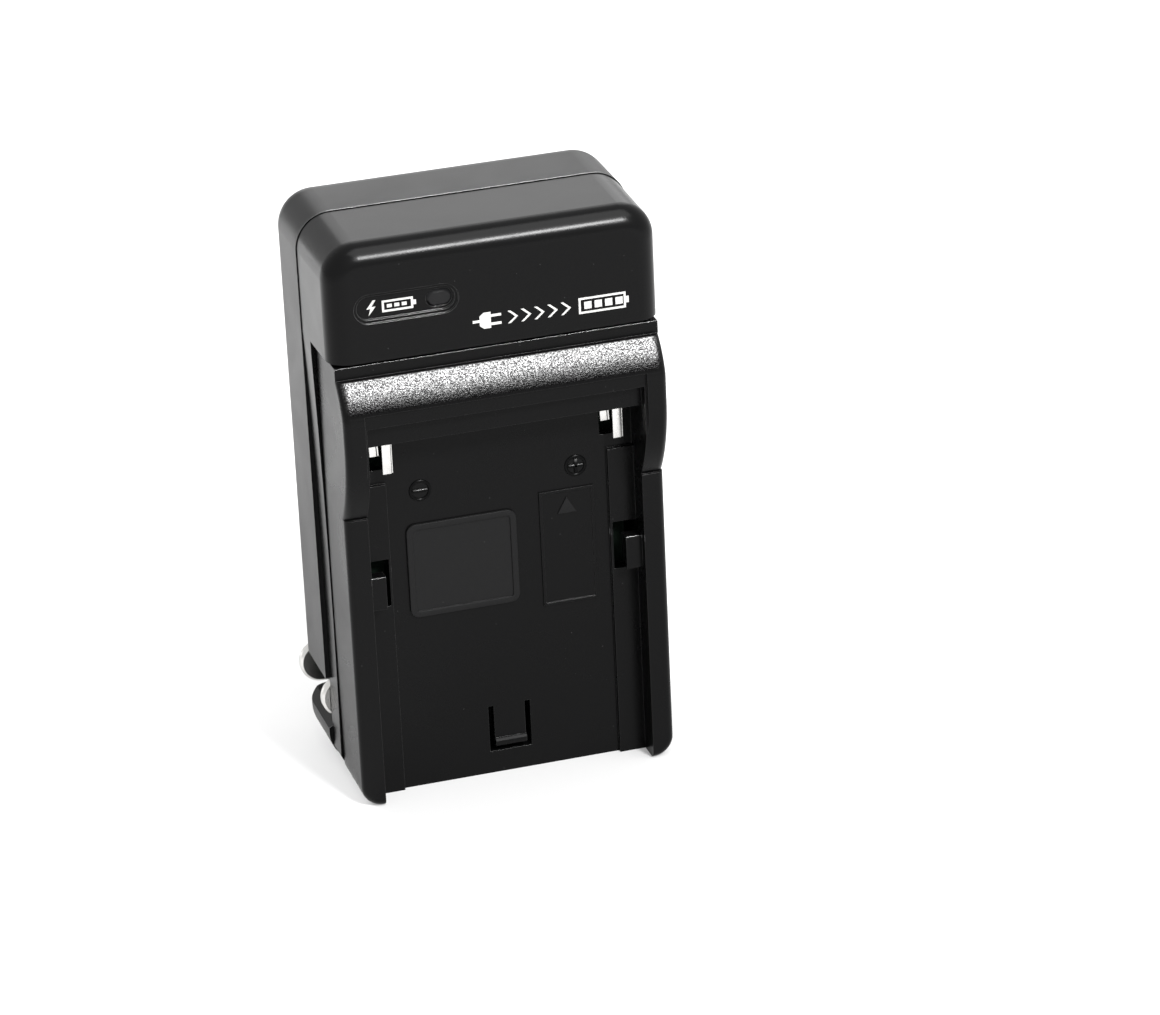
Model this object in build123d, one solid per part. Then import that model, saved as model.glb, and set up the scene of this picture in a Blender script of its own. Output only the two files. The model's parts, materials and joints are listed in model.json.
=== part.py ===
"""Camera battery charger: two housing shells, a battery plate and a mains plug that swings out.

Millimetres. The origin is the middle of the base, the front faces -Y and +Z is up.
"""
import os
from math import hypot

from build123d import *

# Housing
body_width = 48.0
body_height = 84.5
rear_depth = 13.5
front_depth = 15.4
corner_radius = 5.2
back_edge_radius = 4.0
wall = 1.8

# Front shell: a rim round the opening and a hooded head above it
rim_depth = 4.5
rim_step = 0.15
front_draft = 0.8
head_height = 17.0
head_edge_radius = 3.2
side_dish = 0.55
side_dish_drop = 14.0

# Recess in the head with its lamp
recess_length = 14.8
recess_height = 4.3
recess_depth = 0.8
recess_ledge = 0.45
recess_x = -12.55
recess_drop = 9.3
lamp_length = 3.6
lamp_height = 2.4
lamp_inset = 2.6
lamp_stand = 0.3
lamp_body = 4.4
lamp_flange = 0.9
lamp_lead_gap = 1.8

# Battery plate
plate_width = 46.3
plate_gap = 0.4
rim_gap = 0.25
bay_width = 39.8
bay_depth = 4.4
floor_thickness = 1.5
skirt = 2.2
inner_lip = 0.8
inner_lip_reach = 0.45
inner_lip_gap = 0.25
brow_core_wall = 1.5
head_tongue_width = 40.0
head_tongue_thickness = 1.4
head_tongue_overlap = 3.0
head_tongue_gap = 0.2
strip_inner = 32.2
strip_height = 0.6
strip_drop = 8.1
rail_edge_radius = 1.0
foot_radius = 3.0

# Cheeks and brow that swell forward above the rails
cheek_reach = 3.4
cheek_height = 22.7
cheek_sink = 0.4
swell_middle_drop = 16.9
swell_back = 0.9
swell_top_drop = 11.7
cheek_edge_radius = 1.0
brow_drop = 6.8
brow_stand = 0.6
brow_bulge = 0.4
brow_radius = 2.6
lip_height = 1.8
lip_sink = 0.3
frame_width = 40.4
frame_depth = 0.5
frame_drop = 6.2
rebate_drop = 8.2
rebate_sink = 2.2
bay_drop = 11.55

# Side lugs, their windows and the latch tongue
lug_reach = 2.35
lug_foot = 29.8
lug_height = 4.9
lug_depth = 2.0
lug_sink = 1.3
window_width = 3.5
window_height = 7.2
window_drop = 0.8
tongue_width = 4.6
tongue_foot = 4.2
tongue_top = 10.5
tongue_slot = 0.8
latch_lip = 1.2
latch_lip_height = 0.55

# Contacts
contact_spacing = 33.4
contact_stand = 2.4
leaf_thickness = 0.4
leaf_gap = 0.75
leaf_shift = 0.25
tall_leaf_width = 1.45
tall_leaf_height = 5.55
short_leaf_width = 1.0
short_leaf_height = 2.75
contact_window = 3.0
contact_clearance = 0.2

# Plug: blades of the common flat two-blade kind, on a hub that turns about Z
blade_spacing = 12.7
blade_height = 6.35
blade_thickness = 1.5
blade_reach = 24.6
blade_chamfer = 0.35
blade_hole_radius = 1.6
blade_hole_place = 11.7
blade_clearance = 0.3
plug_x = 0.0
plug_z = 10.35
rotor_height = 11.6
rotor_corner = 1.5
rotor_clearance = 0.35
channel_clearance = 0.35
channel_wall = 1.5
mouth_chamfer = 1.5
mouth_drop = 0.9
stub_radius = 2.6
stub_clearance = 0.05

# Inside
board_width = 38.0
board_foot = 20.5
board_drop = 3.5
board_thickness = 1.6
board_stand = 0.95
boss_width = 4.6
boss_clearance = 0.4
screw_x = 17.5
screw_drop = 8.0
screw_low = 25.0
screw_radius = 1.1
screw_head_radius = 2.1
screw_head = 1.3
screw_bite = 5.0
low_screw_bite = 1.2
spring_width = 3.0
spring_thickness = 0.5
spring_rise = 14.0

# Electrical pieces on the board
transformer_x = 6.5
transformer_z = 46.0
core_width = 16.0
core_height = 5.0
core_depth = 13.0
core_leg = 2.2
winding_height = 14.0
flange_depth = 3.0
input_can_x = -11.0
input_can_z = 44.0
input_can_radius = 4.0
input_can_length = 12.5
output_can_x = 9.0
output_can_z = 64.0
output_can_radius = 3.2
output_can_length = 11.0
diode_x = -8.0
diode_z = 26.5
diode_pitch = 3.4
diode_count = 4
diode_length = 4.6
diode_width = 2.6
diode_thickness = 2.3
diode_leg = 0.7
lead_radius = 0.35
fuse_x = 5.0
fuse_z = 29.5
fuse_radius = 1.6
fuse_length = 6.4
disc_x = 14.0
disc_z = 33.5
disc_radius = 3.6
disc_thickness = 2.7
chip_x = -9.5
chip_z = 57.0
chip_width = 6.2
chip_length = 9.4
chip_thickness = 3.6
chip_lift = 0.5
chip_rows = 4
chip_pitch = 2.54
transistor_x = -5.0
transistor_z = 69.5
transistor_radius = 2.3
transistor_length = 5.5

# Places that follow from the sizes
seam_y = (front_depth - rear_depth) / 2
back_y = seam_y + rear_depth
face_y = seam_y - front_depth
rim_y = seam_y - rim_depth
middle_z = body_height / 2
head_foot = body_height - head_height
plate_top = head_foot - plate_gap
cheek_foot = plate_top - cheek_height
swell_middle = plate_top - swell_middle_drop
swell_top = plate_top - swell_top_drop
brow_edge = plate_top - brow_drop
frame_top = plate_top - frame_drop
rebate_top = plate_top - rebate_drop
bay_top = plate_top - bay_drop
strip_top = bay_top - strip_drop
contact_top = bay_top - contact_clearance
tall_leaf_foot = contact_top - tall_leaf_height
short_leaf_foot = contact_top - short_leaf_height
board_top = body_height - board_drop
screw_high = body_height - screw_drop
skirt_y = rim_y - rim_gap
floor_y = face_y + bay_depth
floor_back = floor_y + floor_thickness
contact_y = floor_y - contact_stand
board_y = floor_back + board_stand
board_back = board_y + board_thickness
swell_y = face_y - cheek_reach
lip_y = face_y + lip_sink
lip_z = plate_top - lip_height
brow_y = face_y - brow_stand
lip_foot = rim_step + wall + inner_lip_gap
rebate_y = swell_y + rebate_sink
recess_z = body_height - recess_drop
lamp_x = recess_x + recess_length / 2 - lamp_inset
inner_blade_y = seam_y + blade_clearance + blade_thickness / 2
plug_y = inner_blade_y + blade_spacing / 2
rotor_half_depth = back_y - plug_y
rotor_half_width = blade_spacing / 2 + blade_thickness / 2
well_radius = hypot(rotor_half_depth, rotor_half_width) + rotor_clearance
well_foot = plug_z - rotor_height / 2 - rotor_clearance
well_top = plug_z + rotor_height / 2 + rotor_clearance
channel_half = blade_height / 2 + channel_clearance
overrun = 100.0


def facing(y):
    """Plane at depth y whose own axes run to the right and up, looking at the front."""
    return Plane((0, y, 0), x_dir=(1, 0, 0), z_dir=(0, -1, 0))


def block(x, y, z):
    """Box between a low and a high value on each axis."""
    spans = (x, y, z)
    size = [high - low for low, high in spans]
    middle = [(high + low) / 2 for low, high in spans]
    return Pos(*middle) * Box(*size)


def rod(x, z, radius, front, back):
    """Round bar along Y."""
    return extrude(facing(back) * Pos(x, z) * Circle(radius), back - front)


def post(x, y, radius, low, high):
    """Round bar along Z."""
    return Pos(x, y, (low + high) / 2) * Cylinder(radius, high - low)


def outline(inset, y):
    """Front outline of the housing, drawn in by an inset on every side."""
    shape = RectangleRounded(body_width - 2 * inset, body_height - 2 * inset, corner_radius - inset)
    return facing(y) * Pos(0, middle_z) * shape


def both_sides(piece):
    """A piece and its mirror image across the middle."""
    return piece + mirror(piece, Plane.YZ)


def boss(x, z, front, back):
    """Square post that takes a screw."""
    half = boss_width / 2
    return block((x - half, x + half), (front, back), (z - half, z + half))


def screw_places():
    """Centres of the four housing screws."""
    return [(side * screw_x, z) for z in (screw_high, screw_low) for side in (-1, 1)]


def rear_form():
    """Outer form of the rear half, with a soft back edge."""
    form = extrude(outline(0, back_y), rear_depth)
    return fillet(form.faces().sort_by(Axis.Y)[-1].edges(), back_edge_radius)


def plug_housing(form):
    """Walls round the plug's well and the channel of the folded blades."""
    drum = post(plug_x, plug_y, well_radius + channel_wall, well_foot - wall, well_top + wall)
    reach = channel_half + channel_wall
    duct = block((-body_width / 2, plug_x), (seam_y - channel_wall, back_y), (plug_z - reach, plug_z + reach))
    room_half = body_width / 2 - wall - 2 * boss_clearance
    room = block((-room_half, room_half), (floor_back, seam_y), (0, body_height))
    return (drum + duct) & (form + room)


def plug_space():
    """Room for the hub, the blades and their swing, open to the back and the left."""
    well = post(plug_x, plug_y, well_radius, well_foot, well_top)
    duct = block((-overrun, plug_x), (seam_y, overrun), (plug_z - channel_half, plug_z + channel_half))
    mouth = Polyline(
        (-body_width / 2 + mouth_chamfer, plug_z - channel_half),
        (-body_width / 2, plug_z - channel_half - mouth_drop),
        (-overrun, plug_z - channel_half - mouth_drop),
        (-overrun, plug_z),
        (-body_width / 2 + mouth_chamfer, plug_z),
        close=True,
    )
    flare = extrude(facing(overrun) * make_face(mouth), overrun - seam_y)
    bores = post(plug_x, plug_y, stub_radius + stub_clearance, well_foot - wall, well_top + wall)
    return well + duct + flare + bores


def rear_shell():
    """Back half of the housing."""
    form = rear_form()
    hollow = extrude(outline(wall, back_y - wall), rear_depth - wall)
    hollow = chamfer(hollow.faces().sort_by(Axis.Y)[-1].edges(), back_edge_radius - wall)
    shell = form - hollow
    for x, z in screw_places():
        shell += boss(x, z, board_back, back_y - wall / 2)
    shell += plug_housing(form)
    shell -= plug_space()
    for x, z in screw_places():
        shell -= rod(x, z, screw_radius + stub_clearance, floor_y, back_y)
        shell -= rod(x, z, screw_head_radius + stub_clearance, back_y - screw_head, overrun)
    for side in (-1, 1):
        shell -= spring_slot(side)
    return shell


def spring_slot(side):
    """Slot in the well's front wall for a spring strip."""
    half = spring_width / 2 + stub_clearance
    rise = spring_thickness / 2 + stub_clearance
    x = plug_x + side * blade_spacing / 2
    return block((x - half, x + half), (floor_back, plug_y), (plug_z - rise, plug_z + rise))


def front_form(inset, depth):
    """Tapered outer form of the front half."""
    return extrude(outline(inset, seam_y), depth, taper=front_draft)


def front_shell():
    """Front half of the housing: rim, head, recess and lamp hole."""
    form = front_form(rim_step, front_depth)
    front_edges = form.faces().sort_by(Axis.Y)[0].edges()
    form = fillet(front_edges, head_edge_radius)
    shell = form - front_form(rim_step + wall, front_depth - wall)
    shell -= block((-overrun, overrun), (-overrun, rim_y), (-overrun, head_foot))
    sole_half = body_width / 2 - corner_radius
    shell += block((-sole_half, sole_half), (rim_y, seam_y), (0, wall))
    dish = facing(seam_y) * make_face(side_dish_outline())
    shell -= both_sides(extrude(dish, rim_depth))
    shell -= lamp_recess()
    for side in (-1, 1):
        x = side * screw_x
        shell += boss(x, screw_high, face_y + wall / 2, board_y)
        shell -= rod(x, screw_high, screw_radius, board_y - screw_bite, board_y)
    return shell


def side_dish_outline():
    """Shallow hollow along the rim's left side, deepest at mid height."""
    edge = -body_width / 2 + rim_step
    top = (edge, head_foot)
    foot = (edge, -side_dish_drop)
    middle = (edge + side_dish, (head_foot - side_dish_drop) / 2)
    bow = ThreePointArc(top, middle, foot)
    outside = Polyline(foot, (edge - wall, -side_dish_drop), (edge - wall, head_foot), top)
    return bow + outside


def lamp_recess():
    """Stadium-shaped recess with a stepped edge and the lamp's hole."""
    centre = Pos(recess_x, recess_z)
    step = recess_depth / 2
    outer = extrude(facing(face_y + step) * centre * SlotOverall(recess_length, recess_height), overrun)
    inner_length = recess_length - 2 * recess_ledge
    inner_height = recess_height - 2 * recess_ledge
    inner = SlotOverall(inner_length, inner_height)
    floor = extrude(facing(face_y + recess_depth) * centre * inner, overrun)
    hole = lamp_outline(stub_clearance)
    return outer + floor + extrude(facing(face_y + 2 * wall) * hole, overrun)


def lamp_outline(grow):
    """Oval of the lamp, grown by a clearance."""
    return Pos(lamp_x, recess_z) * SlotOverall(lamp_length + 2 * grow, lamp_height + 2 * grow)


def charge_led():
    """Oval lamp: domed body, base flange and two leads to the board."""
    front = face_y + recess_depth - lamp_stand
    back = front + lamp_body
    body = extrude(facing(back) * lamp_outline(0), lamp_body)
    body = chamfer(body.faces().sort_by(Axis.Y)[0].edges(), lamp_stand)
    flange = extrude(facing(back) * lamp_outline(boss_clearance), lamp_flange)
    level = (recess_z - lead_radius, recess_z + lead_radius)
    leads = []
    for side in (-1, 1):
        x = lamp_x + side * lamp_lead_gap / 2
        leads.append(block((x - lead_radius, x + lead_radius), (back, board_y), level))
    return body + flange + leads


def brow_arc():
    """Bulging slope of the brow, from its upper edge down to its front."""
    run = brow_y - swell_y
    drop = lip_z - brow_edge
    chord = hypot(run, drop)
    middle_y = (brow_y + swell_y) / 2 - brow_bulge * drop / chord
    middle_z = (lip_z + brow_edge) / 2 + brow_bulge * run / chord
    return ThreePointArc((brow_y, lip_z), (middle_y, middle_z), (swell_y, brow_edge))


def swell_profile():
    """Side view of the cheeks and the brow below the lip, as a face in the YZ plane."""
    back = floor_back
    upper = Polyline((back, cheek_foot), (back, lip_z), (brow_y, lip_z))
    front = Line((swell_y, brow_edge), (swell_y, swell_top))
    swell = ThreePointArc(
        (swell_y, swell_top),
        (swell_y + swell_back, swell_middle),
        (face_y + cheek_sink, cheek_foot),
    )
    foot = Line((face_y + cheek_sink, cheek_foot), (back, cheek_foot))
    face = make_face(upper + brow_arc() + front + swell + foot)
    brow = face.vertices().sort_by_distance((swell_y, brow_edge, 0))[0]
    return fillet(brow, brow_radius)


def swell():
    """Cheeks, brow and the lip above it as one full-width form, before the bay is cut."""
    half = plate_width / 2
    side = Plane((-half, 0, 0), x_dir=(0, 1, 0), z_dir=(1, 0, 0))
    form = extrude(side * swell_profile(), plate_width)
    ends = form.faces().filter_by(Axis.X)
    rims = [edge for face in ends for edge in face.edges() if edge.center().Y < brow_y]
    lip = block((-half, half), (lip_y, floor_back), (lip_z, plate_top))
    return fillet(rims, cheek_edge_radius) + lip


def round_feet(solid, radius):
    """Round the two lower corners of a block, as seen from the front."""
    return fillet(solid.edges().filter_by(Axis.Y).group_by(Axis.Z)[0], radius)


def plate_blank():
    """Rails, skirts and swell of the battery plate, still without the bay."""
    half = plate_width / 2
    lower = round_feet(block((-half, half), (face_y, skirt_y), (0, cheek_foot)), foot_radius)
    corners = lower.edges().filter_by(Axis.Z).group_by(Axis.Y)[0]
    lower = fillet(corners, rail_edge_radius)
    upper = block((-half, half), (floor_back - floor_thickness, skirt_y), (cheek_foot, plate_top))
    return lower + swell() + upper


def bay_space():
    """The bay with the steps round its upper end."""
    half = bay_width / 2
    bay = block((-half, half), (-overrun, floor_y), (-overrun, bay_top))
    rebate = block((-half, half), (-overrun, rebate_y), (-overrun, rebate_top))
    frame_half = frame_width / 2
    frame = block((-frame_half, frame_half), (-overrun, swell_y + frame_depth), (-overrun, frame_top))
    return bay + rebate + frame


def plate_hollow():
    """Room behind the floor for the board, and the core behind the brow."""
    half = plate_width / 2 - skirt
    room = block((-half, half), (floor_back, overrun), (lip_foot + inner_lip, overrun))
    core_span = (bay_top + brow_core_wall, plate_top - brow_core_wall)
    core = block((-half, half), (lip_y + brow_core_wall, floor_back), core_span)
    return room + core


def inner_rim():
    """Lip inside the skirts that reaches behind the front shell's rim."""
    half = plate_width / 2 - skirt + inner_lip
    depth = (skirt_y, rim_y + inner_lip_reach)
    corner = corner_radius - lip_foot
    lip = round_feet(block((-half, half), depth, (lip_foot, plate_top)), corner)
    hollow_half = half - inner_lip
    hollow = block((-hollow_half, hollow_half), depth, (lip_foot + inner_lip, plate_top))
    return lip - round_feet(hollow, corner - inner_lip)


def head_tongue():
    """Tongue on the plate's upper edge that laps up inside the head."""
    half = head_tongue_width / 2
    front = face_y + wall + head_tongue_gap
    back = front + head_tongue_thickness
    return block((-half, half), (front, back), (plate_top - brow_core_wall, plate_top + head_tongue_overlap))


def lugs():
    """Side lugs that hold the battery's grooves."""
    half = bay_width / 2
    lug = block(
        (half - lug_reach, half + lug_reach),
        (face_y + lug_sink, face_y + lug_sink + lug_depth),
        (lug_foot, lug_foot + lug_height),
    )
    return both_sides(lug)


def lug_windows():
    """Openings in the floor under the lugs."""
    half = bay_width / 2
    window = block(
        (half - window_width, half),
        (floor_y - strip_height, floor_back),
        (lug_foot - window_drop, lug_foot - window_drop + window_height),
    )
    return both_sides(window)


def tongue_cut():
    """Slot on three sides of the latch tongue."""
    half = tongue_width / 2
    slot = block((half, half + tongue_slot), (floor_y, floor_back), (tongue_foot - tongue_slot, tongue_top))
    end = block((-half, half), (floor_y, floor_back), (tongue_foot - tongue_slot, tongue_foot))
    return both_sides(slot) + end


def latch_bead():
    """Raised lip at the free end of the latch tongue."""
    half = tongue_width / 2
    bead = block(
        (-half, half),
        (floor_y - latch_lip_height, floor_y),
        (tongue_foot, tongue_foot + latch_lip),
    )
    crest = bead.edges().filter_by(Axis.X).group_by(Axis.Y)[0]
    return chamfer(crest, latch_lip_height / 2)


def contact_windows():
    """Openings in the floor for the two contacts."""
    middle = contact_spacing / 2
    half = contact_window / 2
    foot = tall_leaf_foot - contact_clearance
    window = block((middle - half, middle + half), (floor_y, floor_back), (foot, bay_top))
    return both_sides(window)


def contact_pocket(side):
    """Room for a contact's leaves and bridge in front of the floor, where they meet the bay's wall."""
    middle = side * contact_spacing / 2
    left = middle - leaf_shift - leaf_gap - short_leaf_width - contact_clearance
    right = middle + contact_window / 2
    level = (tall_leaf_foot - contact_clearance, contact_top + contact_clearance / 2)
    return block((left, right), (contact_y - contact_clearance, floor_y), level)


def battery_plate():
    """Moulding that takes the battery."""
    plate = plate_blank() - bay_space() - plate_hollow()
    plate += inner_rim() + head_tongue()
    strip = block((strip_inner / 2, bay_width / 2), (floor_y - strip_height, floor_y), (0, strip_top))
    plate += both_sides(strip)
    plate -= lug_windows()
    plate += lugs()
    plate -= tongue_cut()
    plate += latch_bead()
    plate -= contact_windows()
    for side in (-1, 1):
        plate -= contact_pocket(side)
        x = side * screw_x
        plate += boss(x, screw_low, floor_back - floor_thickness / 2, board_y)
        plate -= rod(x, screw_low, screw_radius, board_y - low_screw_bite, board_y)
    return plate


def contact(side):
    """Folded spring contact: a short and a tall leaf on a bridge from a root behind the floor."""
    middle = side * contact_spacing / 2
    leaf_depth = (contact_y, contact_y + leaf_thickness)
    root_back = floor_back + leaf_thickness
    tall_left = middle - leaf_shift
    tall = block((tall_left, tall_left + tall_leaf_width), leaf_depth, (tall_leaf_foot, contact_top))
    short_right = tall_left - leaf_gap
    short = block((short_right - short_leaf_width, short_right), leaf_depth, (short_leaf_foot, contact_top))
    bridge_half = contact_window / 2 - contact_clearance
    bridge_level = (contact_top - leaf_thickness, contact_top)
    bridge = block((middle - bridge_half, middle + bridge_half), (contact_y, root_back), bridge_level)
    root_half = contact_window / 2 + leaf_thickness
    root = block((middle - root_half, middle + root_half), (floor_back, root_back), (tall_leaf_foot, contact_top))
    tail = block((middle - leaf_gap, middle + leaf_gap), (root_back, board_y), (short_leaf_foot, contact_top))
    return short + tall + bridge + root + tail


def plug_rotor():
    """Hub of the plug, with its upper and lower stub and slots for the blades."""
    hub = Pos(plug_x, plug_y, plug_z) * Box(2 * rotor_half_depth, 2 * rotor_half_width, rotor_height)
    hub = fillet(hub.edges().filter_by(Axis.Z), rotor_corner)
    stub_reach = rotor_height / 2 + rotor_clearance + wall - blade_clearance
    hub += post(plug_x, plug_y, stub_radius, plug_z - stub_reach, plug_z + stub_reach)
    for y in (inner_blade_y, inner_blade_y + blade_spacing):
        hub -= blade(y)
    return hub


def blade(y):
    """Flat mains blade with a rounded tip, folded to the left."""
    half = blade_height / 2
    tip = plug_x - blade_reach
    tail = plug_x + rotor_half_depth
    length = tail - tip - half
    body = Pos(tip + half + length / 2, plug_z) * Rectangle(length, blade_height)
    nose = Pos(tip + half, plug_z) * Circle(half)
    strip = extrude(facing(y + blade_thickness / 2) * (body + nose), blade_thickness)
    strip = chamfer(strip.edges().filter_by(GeomType.CIRCLE), blade_chamfer)
    half_thickness = blade_thickness / 2
    return strip - rod(tip + blade_hole_place, plug_z, blade_hole_radius, y - half_thickness, y + half_thickness)


def plug_spring(side):
    """Bent strip from the well's front wall to the board."""
    x = plug_x + side * blade_spacing / 2
    span = (x - spring_width / 2, x + spring_width / 2)
    level = (plug_z - spring_thickness / 2, plug_z + spring_thickness / 2)
    nose_y = plug_y - (well_radius ** 2 - (blade_spacing / 2 - spring_width / 2) ** 2) ** 0.5
    run = block(span, (board_back, nose_y), level)
    riser = block(span, (board_back, board_back + spring_thickness), (level[0], plug_z + spring_rise))
    return run + riser


def circuit_board():
    """Board behind the battery plate, notched for the screws."""
    height = board_top - board_foot
    shape = Pos(0, board_foot + height / 2) * Rectangle(board_width, height)
    board = extrude(facing(board_back) * shape, board_thickness)
    half = screw_radius + stub_clearance
    for z in (screw_high, screw_low):
        notch = block((screw_x - half, overrun), (board_y, board_back), (z - half, z + half))
        board -= both_sides(notch)
    return board


def mounted(x, z, width, height, thickness):
    """Box standing on the back of the board."""
    return block(
        (x - width / 2, x + width / 2),
        (board_back, board_back + thickness),
        (z - height / 2, z + height / 2),
    )


def transformer_core():
    """Ferrite frame round the winding."""
    frame = mounted(transformer_x, transformer_z, core_width, core_height, core_depth)
    room = core_width - 2 * core_leg
    return frame - mounted(transformer_x, transformer_z, room, core_height, core_depth - core_leg)


def transformer_winding():
    """Wound bobbin inside the ferrite frame."""
    room = core_width - 2 * core_leg
    depth = core_depth - core_leg
    coil = mounted(transformer_x, transformer_z, room, core_height, depth)
    flange = mounted(transformer_x, transformer_z, room, winding_height, flange_depth)
    bulge = mounted(transformer_x, transformer_z, room, winding_height, depth)
    bulge = fillet(bulge.edges().filter_by(Axis.X), flange_depth)
    return coil + flange + bulge


def can_capacitor(x, z, radius, length):
    """Round electrolytic can on the board."""
    return rod(x, z, radius, board_back, board_back + length)


def lying_body(x, z, radius, length):
    """Round resistor lying along X on the board, on two flat legs."""
    body = Pos(x, board_back + radius, z) * Rot(0, 90, 0) * Cylinder(radius, length)
    leg_x = length / 2 + lead_radius
    legs = [mounted(x + end * leg_x, z, 2 * lead_radius, 2 * lead_radius, radius) for end in (-1, 1)]
    return body + legs


def rectifier_diodes():
    """Four alike block diodes side by side, each on two flat legs."""
    diodes = []
    for row in range(diode_count):
        z = diode_z + row * diode_pitch
        body = mounted(diode_x, z, diode_length, diode_width, diode_thickness)
        legs = mounted(diode_x, z, diode_length + 2 * diode_leg, diode_width / 2, diode_thickness / 2)
        diodes.append(body + legs)
    return Compound(children=diodes)


def suppression_capacitor():
    """Disc capacitor standing on its edge, on a stub of its leads."""
    radius = disc_radius
    centre = board_back + radius + lead_radius
    disc = Pos(disc_x, centre, disc_z) * Rot(0, 90, 0) * Cylinder(radius, disc_thickness)
    width = 2 * lead_radius
    leads = [mounted(disc_x, disc_z + s * radius / 2, width, width, radius) for s in (-1, 1)]
    return disc + leads


def control_chip():
    """Eight-leg chip on the back of the board."""
    body = mounted(chip_x, chip_z, chip_width, chip_length, chip_thickness)
    body -= mounted(chip_x, chip_z, overrun, overrun, chip_lift)
    legs = []
    for side in (-1, 1):
        for row in range(chip_rows):
            z = chip_z + (row - (chip_rows - 1) / 2) * chip_pitch
            x = chip_x + side * (chip_width / 2 + lead_radius)
            legs.append(mounted(x, z, 3 * lead_radius, 2 * lead_radius, chip_thickness / 2))
    return body + legs


def power_transistor():
    """Small transistor with a flat front, on three legs."""
    drum = rod(transistor_x, transistor_z, transistor_radius, board_back + chip_lift, board_back + transistor_length)
    flat = mounted(transistor_x, transistor_z - 1.5 * transistor_radius, overrun, 2 * transistor_radius, overrun)
    legs = []
    for step in (-1, 0, 1):
        x = transistor_x + step * transistor_radius / 2
        legs.append(mounted(x, transistor_z, 2 * lead_radius, 2 * lead_radius, 2 * chip_lift))
    return (drum - flat) + legs


def housing_screws():
    """Four alike screws from the back."""
    screws = []
    for x, z in screw_places():
        reach = screw_bite if z > middle_z else low_screw_bite
        shank = rod(x, z, screw_radius, board_y - reach + stub_clearance, back_y - screw_head)
        head = rod(x, z, screw_head_radius, back_y - screw_head, back_y - screw_head / 4)
        screws.append(shank + head)
    return Compound(children=screws)


def pieces():
    """Every piece by its name."""
    return {
        "rear_shell": rear_shell(),
        "front_shell": front_shell(),
        "battery_plate": battery_plate(),
        "contact_negative": contact(-1),
        "contact_positive": contact(1),
        "charge_led": charge_led(),
        "plug_rotor": plug_rotor(),
        "plug_blade_outer": blade(inner_blade_y + blade_spacing),
        "plug_blade_inner": blade(inner_blade_y),
        "plug_spring_left": plug_spring(-1),
        "plug_spring_right": plug_spring(1),
        "circuit_board": circuit_board(),
        "transformer_core": transformer_core(),
        "transformer_winding": transformer_winding(),
        "input_capacitor": can_capacitor(input_can_x, input_can_z, input_can_radius, input_can_length),
        "output_capacitor": can_capacitor(output_can_x, output_can_z, output_can_radius, output_can_length),
        "rectifier_diodes": rectifier_diodes(),
        "fuse_resistor": lying_body(fuse_x, fuse_z, fuse_radius, fuse_length),
        "suppression_capacitor": suppression_capacitor(),
        "control_chip": control_chip(),
        "power_transistor": power_transistor(),
        "housing_screws": housing_screws(),
    }


def main():
    os.makedirs("parts", exist_ok=True)
    for name, solid in pieces().items():
        export_step(solid, f"parts/{name}.step")


if __name__ == "__main__":
    main()
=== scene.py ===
import json
import math

import bmesh
import bpy
from bpy.props import FloatProperty, FloatVectorProperty, PointerProperty
from mathutils import Matrix, Vector


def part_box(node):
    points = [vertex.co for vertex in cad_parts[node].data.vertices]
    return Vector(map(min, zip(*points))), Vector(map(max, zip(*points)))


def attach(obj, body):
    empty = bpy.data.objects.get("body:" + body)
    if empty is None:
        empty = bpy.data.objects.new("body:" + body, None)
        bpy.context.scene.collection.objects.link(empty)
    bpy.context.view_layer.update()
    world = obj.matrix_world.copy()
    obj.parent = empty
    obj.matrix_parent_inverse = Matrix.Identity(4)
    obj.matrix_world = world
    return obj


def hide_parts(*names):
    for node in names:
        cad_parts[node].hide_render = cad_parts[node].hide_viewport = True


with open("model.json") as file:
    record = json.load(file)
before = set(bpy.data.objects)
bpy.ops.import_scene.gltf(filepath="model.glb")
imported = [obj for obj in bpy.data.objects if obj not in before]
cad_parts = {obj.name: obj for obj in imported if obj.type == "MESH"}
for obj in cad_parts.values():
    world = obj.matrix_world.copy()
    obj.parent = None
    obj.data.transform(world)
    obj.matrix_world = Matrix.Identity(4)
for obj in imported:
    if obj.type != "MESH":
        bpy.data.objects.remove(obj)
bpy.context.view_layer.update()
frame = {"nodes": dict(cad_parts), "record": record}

bl_info = {
    "name": "Battery Charger Dressing",
    "version": (1, 0, 0),
    "blender": (4, 5, 0),
    "location": "View3D > Sidebar > Charger",
    "description": "Finishes, moulded marks and a plain studio for a camera battery charger",
    "category": "Object",
}

NODES = frame["nodes"]
MM = 0.001
FRONT_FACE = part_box("front_shell")[0].y
PLATE_LOW, PLATE_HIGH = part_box("battery_plate")
SCREW_RADIUS = 2.1 * MM
SUNK = 0.05 * MM  # how deep a mark's foot lies in the bay's floor
TO_THE_FRONT = (math.radians(90), 0, 0)  # turns a flat shape up to face the front


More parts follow.
